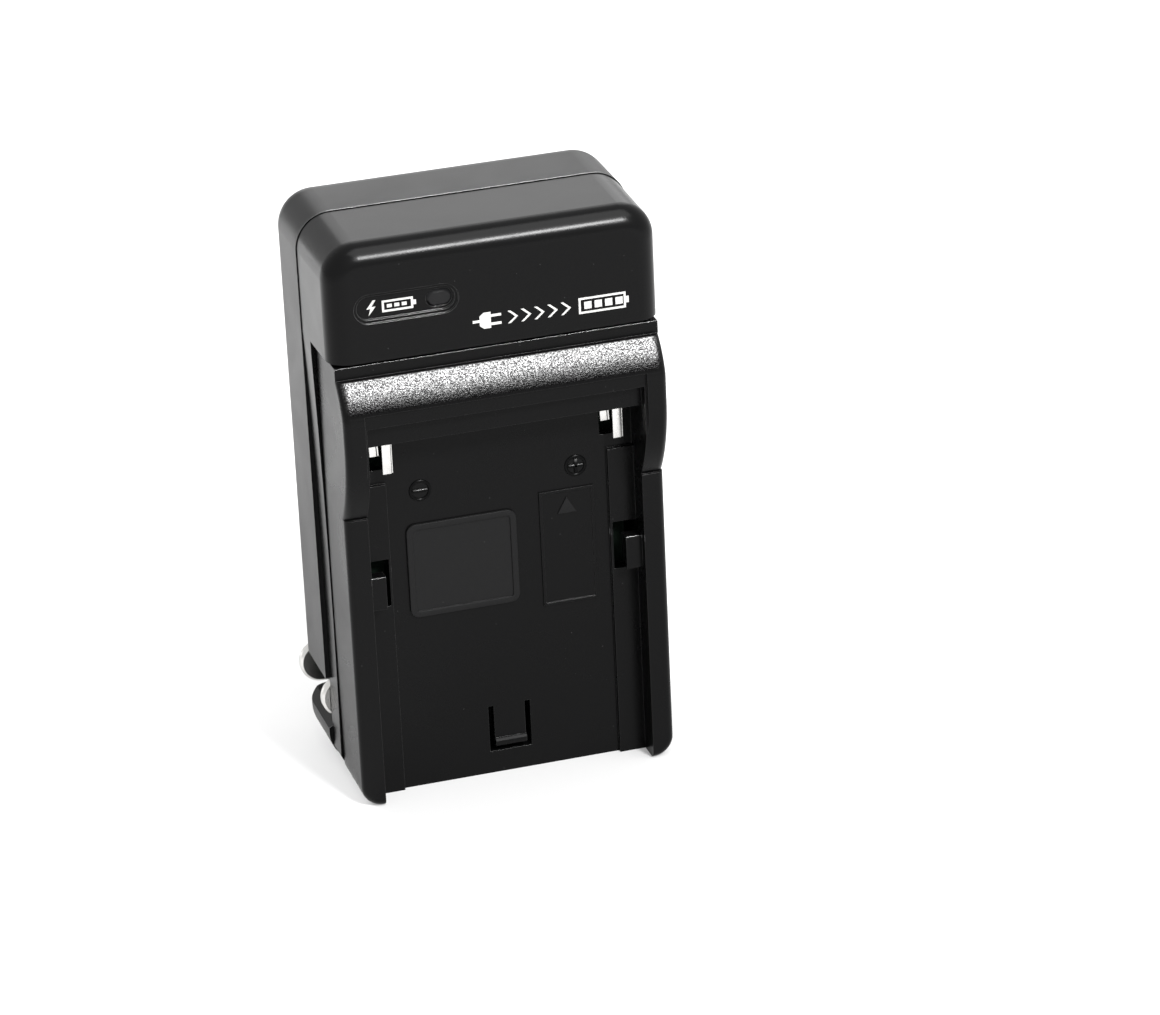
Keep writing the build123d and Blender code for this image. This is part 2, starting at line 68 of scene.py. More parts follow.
class MouldSettings(bpy.types.PropertyGroup):
    """Raised marks in the battery bay."""

    floor_place: FloatProperty(
        name="Bay floor", description="Depth of the bay's floor",
        unit="LENGTH", default=FRONT_FACE + 4.4 * MM,
    )
    panel_low: FloatVectorProperty(
        name="Panel corner", description="Lower left corner of the bare panel",
        size=2, unit="LENGTH", default=(-13.6 * MM, 26.4 * MM),
    )
    panel_high: FloatVectorProperty(
        name="Panel far corner", description="Upper right corner of the bare panel",
        size=2, unit="LENGTH", default=(2.4 * MM, 40.6 * MM),
    )
    panel_height: FloatProperty(
        name="Panel height", description="How far the panel's rim stands out",
        unit="LENGTH", default=0.42 * MM,
    )
    panel_rim: FloatProperty(
        name="Panel rim", description="Width of the panel's rim", unit="LENGTH", default=0.9 * MM,
    )
    arrow_low: FloatVectorProperty(
        name="Arrow frame corner", description="Lower left corner of the arrow's frame",
        size=2, unit="LENGTH", default=(5.9 * MM, 24.8 * MM),
    )
    arrow_high: FloatVectorProperty(
        name="Arrow frame far corner", description="Upper right corner of the arrow's frame",
        size=2, unit="LENGTH", default=(13.95 * MM, 42.3 * MM),
    )
    sign_spread: FloatProperty(
        name="Sign spread", description="Distance of each polarity sign from the middle",
        unit="LENGTH", default=11.33 * MM,
    )
    sign_shift: FloatProperty(
        name="Sign shift", description="How far both signs sit to the right of the middle",
        unit="LENGTH", default=0.18 * MM,
    )
    sign_level: FloatProperty(
        name="Sign level", description="Height of the polarity signs",
        unit="LENGTH", default=45.57 * MM,
    )
    sign_radius: FloatProperty(
        name="Sign radius", description="Radius of the ring round a sign",
        unit="LENGTH", default=1.4 * MM,
    )


class InkSettings(bpy.types.PropertyGroup):
    """Printed pictograms on the head."""

    colour: FloatVectorProperty(
        name="Ink colour", description="Colour of the printed marks",
        subtype="COLOR", default=(0.66, 0.66, 0.64),
    )
    thickness: FloatProperty(
        name="Ink thickness", description="Thickness of the printed film",
        unit="LENGTH", default=0.02 * MM,
    )
    recess_depth: FloatProperty(
        name="Recess depth", description="Depth of the lamp's recess",
        unit="LENGTH", default=0.8 * MM,
    )


class ContactSettings(bpy.types.PropertyGroup):
    """Folded strip of the two contacts."""

    strip: FloatProperty(
        name="Strip", description="Thickness of the strip", unit="LENGTH", default=0.4 * MM,
    )
    tall_width: FloatProperty(
        name="Tall leaf", description="Width of the tall leaf", unit="LENGTH", default=1.25 * MM,
    )
    short_width: FloatProperty(
        name="Short leaf", description="Width of the short leaf", unit="LENGTH", default=1.0 * MM,
    )
    short_height: FloatProperty(
        name="Short leaf height", description="Height of the short leaf",
        unit="LENGTH", default=2.65 * MM,
    )
    gap: FloatProperty(
        name="Gap", description="Gap between the two leaves", unit="LENGTH", default=0.87 * MM,
    )
    root_width: FloatProperty(
        name="Root", description="Width of the root behind the bay's floor",
        unit="LENGTH", default=3.8 * MM,
    )


class FinishSettings(bpy.types.PropertyGroup):
    """Colours, grain and the painted highlight colour of the plastics."""

    black: FloatVectorProperty(
        name="Black", description="Colour of the black plastic",
        subtype="COLOR", default=(0.0022, 0.0022, 0.0023),
    )
    brow_grain: FloatProperty(
        name="Brow grain", description="Size of the sparkling grain on the brow",
        unit="LENGTH", default=0.2 * MM,
    )
    # Colour of the painted highlights: the brow's glittering grain and the bright lines along the
    # lip, lugs, seam, recess and sign bars.
    painted_highlight_colour: FloatVectorProperty(
        name="Brow sheen", description="Colour of the glittering grain on the brow",
        subtype="COLOR", default=(0.21, 0.21, 0.21),
    )
    recess_level: FloatProperty(
        name="Recess level", description="Height of the lamp's recess",
        unit="LENGTH", default=75.2 * MM,
    )
    lug_level: FloatProperty(
        name="Lug level", description="Height of the side lugs' upper edges",
        unit="LENGTH", default=34.7 * MM,
    )
    shell_grain: FloatProperty(
        name="Shell grain", description="Size of the rear shell's matt grain",
        unit="LENGTH", default=0.16 * MM,
    )
    seam_place: FloatProperty(
        name="Seam", description="Where the two shells meet, from front to back", unit="LENGTH",
        default=0.95 * MM,
    )
    edge_softness: FloatProperty(
        name="Edge softness", description="Radius that catches light along sharp edges",
        unit="LENGTH", default=0.12 * MM,
    )


class StageSettings(bpy.types.PropertyGroup):
    """Camera, floor and lamps."""

    camera_place: FloatVectorProperty(
        name="Camera place", description="Where the camera stands",
        subtype="TRANSLATION", unit="LENGTH", default=(-0.163045, -0.618641, 0.316646),
    )
    azimuth: FloatProperty(
        name="Azimuth", description="Turn of the view to the right",
        subtype="ANGLE", default=math.radians(16.038),
    )
    elevation: FloatProperty(
        name="Elevation", description="How far the view looks down",
        subtype="ANGLE", default=math.radians(23.674),
    )
    roll: FloatProperty(
        name="Roll", description="Lean of the camera", subtype="ANGLE", default=math.radians(2.683),
    )
    lens: FloatProperty(name="Lens", description="Focal length in millimetres", default=152.2)
    floor_size: FloatProperty(
        name="Floor size", description="Edge of the floor", unit="LENGTH", default=6.0,
    )
    floor_colour: FloatVectorProperty(
        name="Floor colour", description="Pale floor", subtype="COLOR", default=(0.5, 0.5, 0.5),
    )
    surround: FloatProperty(
        name="Surround", description="Strength of the even light from all sides", default=0.5,
    )


def deselect():
    if bpy.context.object and bpy.context.object.mode != "OBJECT":
        bpy.ops.object.mode_set(mode="OBJECT")
    bpy.ops.object.select_all(action="DESELECT")


def block(name, low, high):
    """A cube between two corners, with its place in the mesh."""
    deselect()
    middle = [(a + b) / 2 for a, b in zip(low, high)]
    bpy.ops.mesh.primitive_cube_add(size=1.0, location=middle)
    piece = bpy.context.object
    piece.name = name
    piece.data.name = name
    piece.scale = [b - a for a, b in zip(low, high)]
    bpy.ops.object.transform_apply(location=True, rotation=True, scale=True)
    return piece


def bar(name, place, radius, length, vertices=40):
    """A round bar along Y, with its place in the mesh."""
    deselect()
    bpy.ops.mesh.primitive_cylinder_add(
        vertices=vertices, radius=radius, depth=length, location=place, rotation=TO_THE_FRONT)
    piece = bpy.context.object
    piece.name = name
    piece.data.name = name
    bpy.ops.object.transform_apply(location=True, rotation=True, scale=True)
    return piece


def select_only(piece, faces=None, edges=None):
    """Open a piece for editing with only the faces or edges selected that pass a test."""
    bpy.context.view_layer.objects.active = piece
    bpy.ops.object.mode_set(mode="EDIT")
    bpy.ops.mesh.select_mode(type="FACE" if faces else "EDGE")
    bpy.ops.mesh.select_all(action="DESELECT")
    mesh = bmesh.from_edit_mesh(piece.data)
    chosen = [f for f in mesh.faces if faces(f)] if faces else [e for e in mesh.edges if edges(e)]
    if not chosen:
        raise RuntimeError(f"{piece.name}: nothing to select")
    for part in chosen:
        part.select_set(True)
    mesh.select_flush_mode()
    bmesh.update_edit_mesh(piece.data)


def done(piece, angle=30):
    """Close a piece and smooth it up to an angle."""
    bpy.ops.object.mode_set(mode="OBJECT")
    deselect()
    piece.select_set(True)
    bpy.context.view_layer.objects.active = piece
    bpy.ops.object.shade_smooth_by_angle(angle=math.radians(angle))
    return piece


def join(pieces, name):
    deselect()
    for piece in pieces:
        piece.select_set(True)
    bpy.context.view_layer.objects.active = pieces[0]
    bpy.ops.object.join()
    pieces[0].name = name
    pieces[0].data.name = name
    return pieces[0]


def copied(piece, shift):
    """A copy with its own mesh, moved by a shift."""
    deselect()
    piece.select_set(True)
    bpy.context.view_layer.objects.active = piece
    bpy.ops.object.duplicate(linked=False)
    twin = bpy.context.object
    bpy.ops.transform.translate(value=shift)
    bpy.ops.object.transform_apply(location=True, rotation=True, scale=True)
    return twin


def faces_front(face):
    return face.normal.y < -0.9


def runs_along_y(edge):
    a, b = (v.co for v in edge.verts)
    return abs(a.y - b.y) > 0.9 * (a - b).length


def framed_plate(name, low, high, back, height, rim, sink, corner):
    """A low plate on the bay floor: rounded corners, a rim and a lower field."""
    plate = block(name, (low[0], back - height, low[1]), (high[0], back, high[1]))
    if corner:
        select_only(plate, edges=runs_along_y)
        bpy.ops.mesh.bevel(offset=corner, segments=5)
    select_only(plate, faces=faces_front)
    bpy.ops.mesh.inset(thickness=rim, depth=0)
    bpy.ops.mesh.extrude_region_move(TRANSFORM_OT_translate={"value": (0, sink, 0)})
    front = back - height

    def bounds_the_rim(edge):
        level = all(abs(v.co.y - front) < 1e-6 for v in edge.verts)
        return level and len({round(f.normal.y, 2) for f in edge.link_faces}) > 1

    select_only(plate, edges=bounds_the_rim)
    bpy.ops.mesh.bevel(offset=height / 5, segments=2)
    return done(plate)


class CHARGER_OT_bay_panel(bpy.types.Operator):
    """Make the bare raised panel on the bay floor"""

    bl_idname = "charger.bay_panel"
    bl_label = "Bay panel"

    def execute(self, context):
        mould = context.scene.charger_mould
        panel = framed_plate(
            "bay_panel", mould.panel_low, mould.panel_high, back=mould.floor_place + SUNK,
            height=mould.panel_height + SUNK, rim=mould.panel_rim, sink=0.22 * MM, corner=1.3 * MM)
        dress_piece(panel, "mark_plastic")
        return {"FINISHED"}


class CHARGER_OT_slide_arrow(bpy.types.Operator):
    """Make the frame with the arrow that shows which way the battery slides"""

    bl_idname = "charger.slide_arrow"
    bl_label = "Slide arrow"

    def execute(self, context):
        mould = context.scene.charger_mould
        plate = framed_plate(
            "slide_arrow", mould.arrow_low, mould.arrow_high, back=mould.floor_place + SUNK,
            height=0.32 * MM, rim=0.42 * MM, sink=0.2 * MM, corner=0)
        radius, thickness, stand, drop = 1.62 * MM, 0.3 * MM, 0.06 * MM, 2.85 * MM
        middle = (mould.arrow_low[0] + mould.arrow_high[0]) / 2
        place = (middle, mould.floor_place - stand, mould.arrow_high[1] - drop)
        arrow = bar("slide_arrow_head", place, radius, thickness, vertices=3)
        select_only(arrow, faces=faces_front)
        bpy.ops.mesh.inset(thickness=0.1 * MM, depth=0.05 * MM)
        done(arrow)
        dress_piece(plate, "plate_plastic")
        dress_piece(arrow, "mark_plastic")
        return {"FINISHED"}


def sign_ring(x, mould):
    """The flattened ring round a polarity sign, half sunk in the floor."""
    thickness, flatness = 0.24 * MM, 0.85
    deselect()
    bpy.ops.mesh.primitive_torus_add(
        major_segments=48, minor_segments=10, major_radius=mould.sign_radius,
        minor_radius=thickness, location=(x, mould.floor_place, mould.sign_level),
        rotation=TO_THE_FRONT)
    ring = bpy.context.object
    bpy.ops.object.transform_apply(location=True, rotation=True, scale=True)
    select_only(ring, faces=lambda f: True)
    bpy.ops.transform.resize(value=(1.0, flatness, 1.0))
    return done(ring)


def sign_bar(x, mould, half_width, half_height):
    """One bar of a polarity sign, with a soft upper edge."""
    stand = 0.3 * MM
    piece = block(
        "sign_bar", (x - half_width, mould.floor_place - stand, mould.sign_level - half_height),
        (x + half_width, mould.floor_place + SUNK, mould.sign_level + half_height))
    select_only(piece, edges=lambda e: all(f.normal.y < 0.5 for f in e.link_faces))
    bpy.ops.mesh.bevel(offset=0.07 * MM, segments=2)
    return done(piece)


class CHARGER_OT_polarity_signs(bpy.types.Operator):
    """Make the minus and plus signs in their rings"""

    bl_idname = "charger.polarity_signs"
    bl_label = "Polarity signs"

    def execute(self, context):
        mould = context.scene.charger_mould
        reach, half = 1.05 * MM, 0.22 * MM
        left, right = (mould.sign_shift + side * mould.sign_spread for side in (-1, 1))
        minus = [sign_ring(left, mould), sign_bar(left, mould, reach, half)]
        plus = [copied(piece, (right - left, 0, 0)) for piece in minus]
        plus.append(sign_bar(right, mould, half, reach))
        dress_piece(join(minus, "minus_sign"), "sign_plastic")
        dress_piece(join(plus, "plus_sign"), "sign_plastic")
        return {"FINISHED"}


def rectangle(x, z, width, height):
    return [(x, z), (x + width, z), (x + width, z + height), (x, z + height)]


def bolt(x, z, size):
    """Lightning bolt in a square of this size."""
    shape = ((0.62, 1.0), (0.18, 0.45), (0.44, 0.45), (0.3, 0.0),
             (0.78, 0.58), (0.5, 0.58), (0.8, 1.0))
    return [(x + a * size, z + b * size) for a, b in shape]


def chevron(x, z, width, height, stroke):
    half = height / 2
    return [(x, z), (x + stroke, z), (x + width, z + half), (x + stroke, z + height),
            (x, z + height), (x + width - stroke, z + half)]


def cell(x, z, width, height, stroke):
    """Outlined battery with its pole."""
    body = [rectangle(x, z, width, height),
            rectangle(x + stroke, z + stroke, width - 2 * stroke, height - 2 * stroke)]
    return [body, [rectangle(x + width, z + height * 0.3, stroke * 1.4, height * 0.4)]]


def plug_outline(x, z, height):
    """Two-blade plug seen from the side, with a stub of lead."""
    blade = height * 0.16
    body = [(x + 1.0, z + height * 0.2), (x + 1.6, z), (x + 2.6, z), (x + 2.6, z + height),
            (x + 1.6, z + height), (x + 1.0, z + height * 0.8)]
    return [[body],
            [rectangle(x + 2.6, z + height * 0.68, 1.5, blade)],
            [rectangle(x + 2.6, z + height * 0.16, 1.5, blade)],
            [rectangle(x, z + height * 0.42, 1.0, blade)]]


def in_a_row(count, step, outline):
    """A row of one outline, each a step further to the right."""
    return [[[(x + step * i, z) for x, z in outline]] for i in range(count)]


def film(outlines, depth, settings):
    """Printed film cut to flat outlines, given in millimetres from the middle and the base."""
    curve = bpy.data.curves.new("film", "CURVE")
    curve.dimensions = "2D"
    curve.fill_mode = "BOTH"
    curve.extrude = settings.thickness / 2
    for points in outlines:
        spline = curve.splines.new("POLY")
        spline.points.add(len(points) - 1)
        for point, (x, z) in zip(spline.points, points):
            point.co = (x * MM, z * MM, 0, 1)
        spline.use_cyclic_u = True
    piece = bpy.data.objects.new("film", curve)
    bpy.context.scene.collection.objects.link(piece)
    deselect()
    piece.select_set(True)
    bpy.context.view_layer.objects.active = piece
    bpy.ops.object.convert(target="MESH")
    piece = bpy.context.object
    piece.rotation_euler = TO_THE_FRONT
    piece.location = (0, depth - settings.thickness / 2, 0)
    bpy.ops.object.transform_apply(location=True, rotation=True, scale=True)
    return piece


class CHARGER_OT_printed_marks(bpy.types.Operator):
    """Print plain pictograms in the recess and on the head"""

    bl_idname = "charger.printed_marks"
    bl_label = "Printed marks"

    def execute(self, context):
        settings = context.scene.charger_ink
        # All in millimetres, from the middle of the front and from the base
        stroke, left, foot, height = 0.3, -18.4, 73.95, 2.2
        lamp_marks = [[bolt(left, foot, height)]]
        lamp_marks += cell(left + 2.6, foot + 0.25, 4.4, height - 0.5, stroke)
        lamp_marks += in_a_row(3, 1.05, rectangle(left + 3.3, foot + 0.85, 0.7, height - 1.7))
        left, foot, height = -3.4, 69.9, 2.35
        head_marks = plug_outline(left, foot, height)
        head_marks += in_a_row(5, 1.9, chevron(left + 5.0, foot + 0.25, 1.5, height - 0.5, 0.42))
        head_marks += cell(left + 15.2, foot, 6.8, height, stroke)
        head_marks += in_a_row(4, 1.5, rectangle(left + 16.0, foot + 0.65, 1.05, height - 1.3))
        recess_floor = FRONT_FACE + settings.recess_depth
        for name, marks, depth in (
            ("lamp_marks", lamp_marks, recess_floor),
            ("head_marks", head_marks, FRONT_FACE),
        ):
            films = [film(outlines, depth, settings) for outlines in marks]
            dress_piece(join(films, name), "printed_ink")
        return {"FINISHED"}


def screw(place, tail):
    """One pan-head screw with a cross recess, its head towards the back."""
    head_top, head_depth, shank_radius, point = place.y, 0.975 * MM, 1.1 * MM, 0.5
    head = bar("screw", (place.x, head_top - head_depth / 2, place.z), SCREW_RADIUS, head_depth)
    select_only(head, edges=lambda e: all(v.co.y > head_top - 1e-6 for v in e.verts))
    bpy.ops.mesh.bevel(offset=0.45 * MM, segments=4)
    done(head)
    arm, width, depth = 1.25 * MM, 0.28 * MM, 0.62 * MM
    low, high = head_top - depth, head_top + depth
    for across, along in ((arm, width), (width, arm)):
        cutter = block("cross", (place.x - across, low, place.z - along),
                       (place.x + across, high, place.z + along))
        cut = head.modifiers.new("cross", "BOOLEAN")
        cut.operation = "DIFFERENCE"
        cut.object = cutter
        bpy.context.view_layer.objects.active = head
        bpy.ops.object.modifier_apply(modifier=cut.name)
        bpy.data.objects.remove(cutter)
    length = head_top - head_depth - tail
    shank = bar("shank", (place.x, tail + length / 2, place.z), shank_radius, length, 24)
    select_only(shank, faces=faces_front)
    bpy.ops.transform.resize(value=(point, point, point))
    done(shank)
    return [head, shank]


class CHARGER_OT_housing_screws(bpy.types.Operator):
    """Make the four housing screws with their cross recesses"""

    bl_idname = "charger.housing_screws"
    bl_label = "Housing screws"

    def execute(self, context):
        low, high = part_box("housing_screws")
        shorter = 3.8 * MM
        upper, lower = high.z - SCREW_RADIUS, low.z + SCREW_RADIUS
        parts = []
        for z, tail in ((upper, low.y), (lower, low.y + shorter)):
            parts += screw(Vector((low.x + SCREW_RADIUS, high.y, z)), tail)
        across = (high.x - low.x - 2 * SCREW_RADIUS, 0, 0)
        parts += [copied(part, across) for part in parts]
        screws = join(parts, "housing_screws_cross")
        done(screws)
        dress_piece(screws, "screw_steel")
        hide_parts("housing_screws")
        return {"FINISHED"}


def leaf(low, high, lean=0.0):
    """One piece of strip with soft edges; a lean pushes its foot to the right."""
    softness = 0.03 * MM
    piece = block("leaf", low, high)
    if lean:
        select_only(piece, faces=lambda f: f.normal.z < -0.9)
        bpy.ops.transform.translate(value=(lean, 0, 0))
        bpy.ops.object.mode_set(mode="OBJECT")
    select_only(piece, edges=lambda e: True)
    bpy.ops.mesh.bevel(offset=softness, segments=2)
    return done(piece)


class CHARGER_OT_contacts(bpy.types.Operator):
    """Make the leaves of the two spring contacts"""

    bl_idname = "charger.contacts"
    bl_label = "Contacts"

    def execute(self, context):
        settings = context.scene.charger_contact
        low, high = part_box("contact_negative")
        front, top, foot, strip = low.y, high.z, low.z, settings.strip
        floor_thickness, tall_shift, tail_height = 1.5 * MM, 0.15 * MM, 2.75 * MM
        root_front = context.scene.charger_mould.floor_place + floor_thickness
        right = high.x
        tall_left = right - settings.root_width / 2 - tall_shift
        tall_right = tall_left + settings.tall_width
        short_right = tall_left - settings.gap
        short_left = short_right - settings.short_width
        return_edge = tall_right + 0.25 * MM
        tall = leaf((tall_left, front, foot), (tall_right, front + strip, top))
        beside_tall = leaf((return_edge - 0.15 * MM, front + strip / 2, foot),
                           (return_edge, front + 2 * strip, top))
        short = leaf((short_left, front, top - settings.short_height),
                     (short_right, front + strip, top), lean=0.1 * MM)
        sliver = leaf((tall_left - 0.68 * MM, front + strip, top - 2.8 * MM),
                      (tall_left - 0.46 * MM, front + 2 * strip, top), lean=0.12 * MM)
        bridge = leaf((short_left + 0.5 * MM, front + strip / 2, top - strip),
                      (return_edge, root_front + strip, top))
        root = leaf((tall_right - 0.1 * MM, root_front, foot), (right, root_front + strip, top))
        tail = leaf((tall_right, root_front + strip / 2, top - tail_height),
                    (tall_right + strip, high.y, top))
        parts = [tall, beside_tall, short, sliver, bridge, root, tail]
        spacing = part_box("contact_positive")[1].x - right
        twins = [copied(part, (spacing, 0, 0)) for part in parts]
        for pieces, node in ((parts, "contact_negative"), (twins, "contact_positive")):
            contact = join(pieces, f"{node}_leaves")
            done(contact)
            dress_piece(contact, "contact_nickel")
            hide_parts(node)
        return {"FINISHED"}


def dress_piece(piece, finish, body="housing"):
    """Give a new piece its finish and let it ride on the housing."""
    piece.data.materials.clear()
    piece.data.materials.append(bpy.data.materials[finish])
    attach(piece, body)


def add(tree, kind, **values):
    """A shader node with its settings."""
    node = tree.nodes.new(kind)
    for key, value in values.items():
        setattr(node, key, value)
    return node


def put(tree, value, socket):
    """Feed a socket with a plain value or with another node's output."""
    if isinstance(value, bpy.types.NodeSocket):
        tree.links.new(value, socket)
    else:
        socket.default_value = value


def worked_out(tree, operation, *values):
    """The result of a sum; each value is a number or a socket."""
    node = add(tree, "ShaderNodeMath", operation=operation)
    for value, socket in zip(values, node.inputs):
        put(tree, value, socket)
    return node.outputs[0]


def product(tree, first, second):
    return worked_out(tree, "MULTIPLY", first, second)


def larger(tree, first, second):
    return worked_out(tree, "MAXIMUM", first, second)


def far_from(tree, socket, middle):
    """How far a value is from a middle one."""
    return worked_out(tree, "ABSOLUTE", worked_out(tree, "SUBTRACT", socket, middle))


def ranged(tree, socket, low, high):
    """A value stretched from 0..1 to a range."""
    node = add(tree, "ShaderNodeMapRange")
    node.inputs["To Min"].default_value = low
    node.inputs["To Max"].default_value = high
    tree.links.new(socket, node.inputs["Value"])
    return node.outputs["Result"]


def between(tree, socket, start, end):
    """0 at a start value, 1 at an end value."""
    node = add(tree, "ShaderNodeMapRange")
    node.inputs["From Min"].default_value = start
    node.inputs["From Max"].default_value = end
    tree.links.new(socket, node.inputs["Value"])
    return node.outputs["Result"]


def band(tree, socket, low, high, soft):
    """1 inside a band that fades over a soft width at both ends, else 0."""
    return product(
        tree, between(tree, socket, low, low + soft), between(tree, socket, high, high - soft))


def mixed_value(tree, mask, low, high):
    """One value outside a mask and another inside it; each is a number or a socket."""
    node = add(tree, "ShaderNodeMix", data_type="FLOAT")
    tree.links.new(mask, node.inputs[0])
    put(tree, low, node.inputs[2])
    put(tree, high, node.inputs[3])
    return node.outputs[0]


def mixed_colour(tree, mask, low, high):
    """One colour outside a mask and another inside it; the first may be a socket."""
    node = add(tree, "ShaderNodeMix", data_type="RGBA")
    tree.links.new(mask, node.inputs[0])
    put(tree, low if isinstance(low, bpy.types.NodeSocket) else (*low, 1.0), node.inputs[6])
    node.inputs[7].default_value = (*high, 1.0)
    return node.outputs[2]


def axes(tree):
    """The three coordinates of the piece's own space."""
    place = add(tree, "ShaderNodeTexCoord")
    split = add(tree, "ShaderNodeSeparateXYZ")
    tree.links.new(place.outputs["Object"], split.inputs[0])
    return split.outputs


def texture(tree, kind, size, values, **settings):
    """The outputs of a texture in the piece's own space, with features of a given size."""
    node = add(tree, kind, **settings)
    place = add(tree, "ShaderNodeTexCoord")
    tree.links.new(place.outputs["Object"], node.inputs["Vector"])
    tree.links.new(worked_out(tree, "DIVIDE", 1.0, size), node.inputs["Scale"])
    for key, value in values.items():
        node.inputs[key].default_value = value
    return node.outputs


def new_group(name, inputs, outputs):
    """An empty shader group: its tree, its own inputs and its own outputs."""
    group = bpy.data.node_groups.new(name, "ShaderNodeTree")
    for socket, default in inputs:
        made = group.interface.new_socket(socket, in_out="INPUT", socket_type="NodeSocketFloat")
        made.default_value = default
    for socket, kind in outputs:
        group.interface.new_socket(socket, in_out="OUTPUT", socket_type=kind)
    return group, add(group, "NodeGroupInput").outputs, add(group, "NodeGroupOutput").inputs


def grain_group():
    """Fine moulded grain: a height for bump and a mask of its high spots."""
    tree, start, end = new_group(
        "moulded_grain", (("Size", 0.2 * MM),),
        (("Height", "NodeSocketFloat"), ("Speckle", "NodeSocketFloat")))
    cell_share, speckle_start, speckle_end = 0.5, 0.42, 0.6
    kind, values = "ShaderNodeTexNoise", {"Detail": 2.0, "Roughness": 0.6}
    noise = texture(tree, kind, start["Size"], values)["Fac"]
    cells = texture(tree, "ShaderNodeTexVoronoi", start["Size"], {}, feature="SMOOTH_F1")
    height = worked_out(tree, "MULTIPLY_ADD", cells["Distance"], cell_share, noise)
    tree.links.new(height, end["Height"])
    tree.links.new(between(tree, noise, speckle_start, speckle_end), end["Speckle"])


def handling_group():
    """Faint smears and specks from handling."""
    tree, start, end = new_group(
        "handling", (("Smear Size", 12 * MM), ("Speck Size", 1.1 * MM)),
        (("Smear", "NodeSocketFloat"), ("Specks", "NodeSocketFloat")))
    speck_rim, speck_core, rarity = 0.075, 0.05, 0.86
    kind, values = "ShaderNodeTexNoise", {"Detail": 5.0, "Distortion": 0.8}
    smear = texture(tree, kind, start["Smear Size"], values)["Fac"]
    tree.links.new(smear, end["Smear"])
    cells = texture(tree, "ShaderNodeTexVoronoi", start["Speck Size"], {}, feature="F1")
    near = between(tree, cells["Distance"], speck_rim, speck_core)
    pick = add(tree, "ShaderNodeSeparateColor")
    tree.links.new(cells["Color"], pick.inputs["Color"])
    rare = worked_out(tree, "GREATER_THAN", pick.outputs[0], rarity)
    tree.links.new(product(tree, near, rare), end["Specks"])


def edge_group():
    """Softened normals along sharp edges, and a mask of those edges."""
    tree, start, end = new_group(
        "soft_edges", (("Radius", 0.15 * MM),),
        (("Normal", "NodeSocketVector"), ("Edge", "NodeSocketFloat")))
    soft = add(tree, "ShaderNodeBevel", samples=4)
    tree.links.new(start["Radius"], soft.inputs["Radius"])
    true = add(tree, "ShaderNodeNewGeometry")
    dot = add(tree, "ShaderNodeVectorMath", operation="DOT_PRODUCT")
    tree.links.new(soft.outputs["Normal"], dot.inputs[0])
    tree.links.new(true.outputs["Normal"], dot.inputs[1])
    tree.links.new(soft.outputs["Normal"], end["Normal"])
    flat, sharp = 0.98, 0.75  # how well the softened normal agrees with the true one
    tree.links.new(between(tree, dot.outputs["Value"], flat, sharp), end["Edge"])


def use_group(tree, name, **values):
    """The outputs of a shader group placed with its own values."""
    node = add(tree, "ShaderNodeGroup", node_tree=bpy.data.node_groups[name])
    for key, value in values.items():
        node.inputs[key.replace("_", " ")].default_value = value
    return node.outputs


def finish(name):
    """A fresh tree and shader in a material; a slot's own material is kept and filled anew."""
    mat = bpy.data.materials.get(name) or bpy.data.materials.new(name)
    mat.use_nodes = True
    tree = mat.node_tree
    tree.nodes.clear()
    shader = add(tree, "ShaderNodeBsdfPrincipled")
    output = add(tree, "ShaderNodeOutputMaterial")
    tree.links.new(shader.outputs["BSDF"], output.inputs["Surface"])
    return tree, shader.inputs


def height_bump(tree, shader, height, distance, strength, normal=None):
    bump = add(tree, "ShaderNodeBump")
    bump.inputs["Strength"].default_value = strength
    bump.inputs["Distance"].default_value = distance
    tree.links.new(height, bump.inputs["Height"])
    if normal:
        tree.links.new(normal, bump.inputs["Normal"])
    tree.links.new(bump.outputs["Normal"], shader["Normal"])


def black_plastic(settings, name, colour, grain, roughness, bump, specular, detail):
    """Moulded black plastic: grain, soft edges, faint smears and specks."""
    smear_change, edge_wear, speck_wear, worn_paleness = 0.08, 0.08, 0.5, 0.06
    tree, shader = finish(name)
    shader["Specular IOR Level"].default_value = specular
    edges = use_group(tree, "soft_edges", Radius=settings.edge_softness)
    height = use_group(tree, "moulded_grain", Size=grain)["Height"]
    handled = use_group(tree, "handling")
    wear = larger(tree, ranged(tree, edges["Edge"], 0.0, edge_wear),
                  ranged(tree, handled["Specks"], 0.0, speck_wear))
    base = mixed_colour(tree, wear, colour, [worn_paleness + c for c in colour])
    rough = ranged(tree, handled["Smear"], roughness - smear_change, roughness + smear_change)
    # An added detail paints highlights into the base colour and the metallic mask.
    if detail:
        base, rough, height = detail(tree, shader, base, rough, height, edges["Edge"], settings)
    tree.links.new(base, shader["Base Color"])
    tree.links.new(rough, shader["Roughness"])
    height_bump(tree, shader, height, bump, 1.0, edges["Normal"])


def painted_highlight(tree, mask, base, settings, strength=1.0):
    """The base colour with the painted highlight colour inside a mask."""
    return mixed_colour(tree, mask, base, [strength * c for c in settings.painted_highlight_colour])


